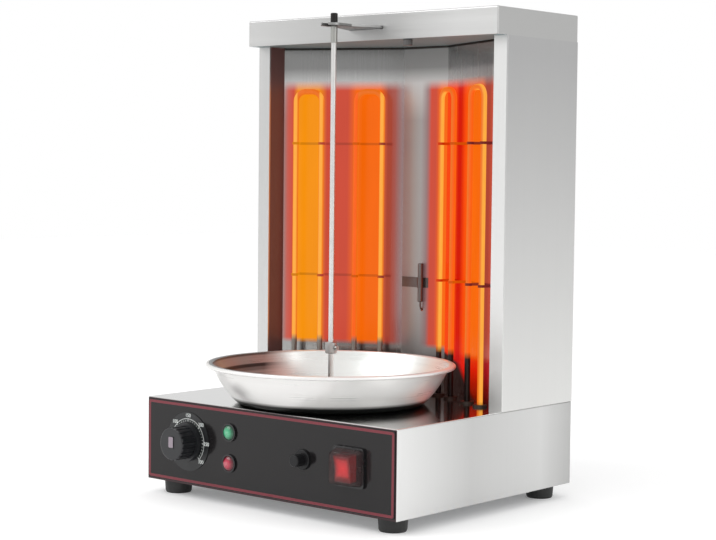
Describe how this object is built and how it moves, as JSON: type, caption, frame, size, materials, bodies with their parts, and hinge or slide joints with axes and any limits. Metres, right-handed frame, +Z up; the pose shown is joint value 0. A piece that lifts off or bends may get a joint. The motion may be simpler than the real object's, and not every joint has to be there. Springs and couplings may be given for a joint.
{
  "type": "vertical kebab grill",
  "caption": "Upright electric kebab grill: control base, turned spit over a drip pan, and a tower with glowing tube heaters on angled reflectors.",
  "frame": {"origin": "on the spit's axis, in the plane of the worktop that the rubber feet stand on", "axes": "+Z up along the spit, -Y towards the control panel at the front, +X towards the right side seen from the front"},
  "size_m": [0.37, 0.365, 0.547],
  "materials": {
    "base_housing": "fine brushed stainless steel",
    "base_plate": "plain zinc-coated sheet",
    "control_panel": "satin charcoal with a dark red border line",
    "side_panels": "fine brushed stainless steel",
    "back_panel": "fine brushed stainless steel",
    "top_cap": "fine brushed stainless steel",
    "roof_plate": "plain stainless sheet",
    "reflectors": "polished stainless sheet",
    "ceramic": "unglazed white ceramic",
    "strips": "heat-tinted stainless strip",
    "heaters": "tube sheath, shown glowing orange",
    "drip_pan": "bright spun aluminium",
    "spit_steel": "bright rod",
    "ferrule": "blackened steel",
    "collar": "turned steel",
    "screws": "plain steel screws",
    "drive": "turned steel",
    "bush": "black heat-proof plastic",
    "motor": "plain gear motor case",
    "bracket": "zinc-coated sheet",
    "arm": "plain stainless plate",
    "thumb_screw": "nickel-plated brass",
    "dial": "charcoal plate with a pale printed scale",
    "thermostat": "passivated case",
    "knob": "charcoal plastic with a pale pointer",
    "sensor": "nickel-plated copper",
    "lamp_bezels": "black plastic",
    "green_lens": "green lens",
    "red_lens": "red lens, lit",
    "button": "black plastic",
    "spring": "spring steel",
    "switch": "black plastic",
    "rocker": "red rocker, lit",
    "hood": "soft clear silicone",
    "gland": "black nylon",
    "feet": "black rubber"
  },
  "bodies": {
    "grill": {"base_housing": "base_housing", "base_plate": "base_plate", "control_panel": "control_panel", "right_side_panel": "side_panels", "left_side_panel": "side_panels", "back_panel": "back_panel", "top_cap": "top_cap", "roof_plate": "roof_plate", "right_reflector": "reflectors", "left_reflector": "reflectors", "centre_reflector": "reflectors", "heater_bushes": "ceramic", "right_heater_strips": "strips", "left_heater_strips": "strips", "left_front_heater": "heaters", "left_rear_heater": "heaters", "right_front_heater": "heaters", "right_rear_heater": "heaters", "drive_bush": "bush", "motor_case": "motor", "motor_bracket": "bracket", "arm_rails": "bracket", "dial_ring": "dial", "thermostat_body": "thermostat", "sensor_bulb": "sensor", "capillary_tube": "sensor", "bulb_clip": "strips", "green_lamp_body": "lamp_bezels", "green_lamp_lens": "green_lens", "red_lamp_body": "lamp_bezels", "red_lamp_lens": "red_lens", "button_body": "button", "button_spring": "spring", "switch_frame": "switch", "switch_hood": "hood", "terminal_block": "ceramic", "cable_gland": "gland", "gland_locknut": "gland", "foot_screws": "screws", "housing_screws": "screws", "frame_screws": "screws", "foot_front_left": "feet", "foot_front_right": "feet", "foot_rear_left": "feet", "foot_rear_right": "feet"},
    "drive": {"drive_socket": "drive", "motor_shaft": "drive"},
    "spit": {"spit_rod": "spit_steel", "spit_ferrule": "ferrule", "spit_sleeve": "spit_steel", "spit_collar": "collar", "collar_screw": "screws"},
    "pan": {"drip_pan": "drip_pan"},
    "arm": {"support_arm": "arm"},
    "lock_screw": {"thumb_screw": "thumb_screw"},
    "knob": {"thermostat_knob": "knob", "thermostat_stem": "drive"},
    "button": {"button_cap": "button"},
    "rocker_key": {"rocker": "rocker"}
  },
  "joints": [
    {"name": "spit_drive", "type": "hinge", "parent": "grill", "child": "drive", "pos_m": [0, 0, 0.11], "axis": [0, 0, 1], "continuous": true},
    {"name": "spit_lift", "type": "slide", "parent": "drive", "child": "spit", "axis": [0, 0, 1], "range_m": [0, 0.03]},
    {"name": "pan_lift", "type": "slide", "parent": "grill", "child": "pan", "axis": [0, 0, 1], "range_m": [0, 0.05]},
    {"name": "arm_slide", "type": "slide", "parent": "grill", "child": "arm", "axis": [0, 1, 0], "range_m": [0, 0.04]},
    {"name": "lock_screw_turn", "type": "hinge", "parent": "grill", "child": "lock_screw", "pos_m": [0.055, 0.062, 0.5097], "axis": [0, 0, 1], "range_deg": [-360, 0]},
    {"name": "thermostat_turn", "type": "hinge", "parent": "grill", "child": "knob", "pos_m": [-0.117, -0.13, 0.065], "axis": [0, 1, 0], "range_deg": [-135, 135]},
    {"name": "button_press", "type": "slide", "parent": "grill", "child": "button", "axis": [0, 1, 0], "range_m": [0, 0.003], "stiffness_N_per_m": 200, "deforming": ["button_spring"]},
    {"name": "rocker_tilt", "type": "hinge", "parent": "grill", "child": "rocker_key", "pos_m": [0.123, -0.1085, 0.065], "axis": [1, 0, 0], "range_deg": [-12, 0]}
  ]
}
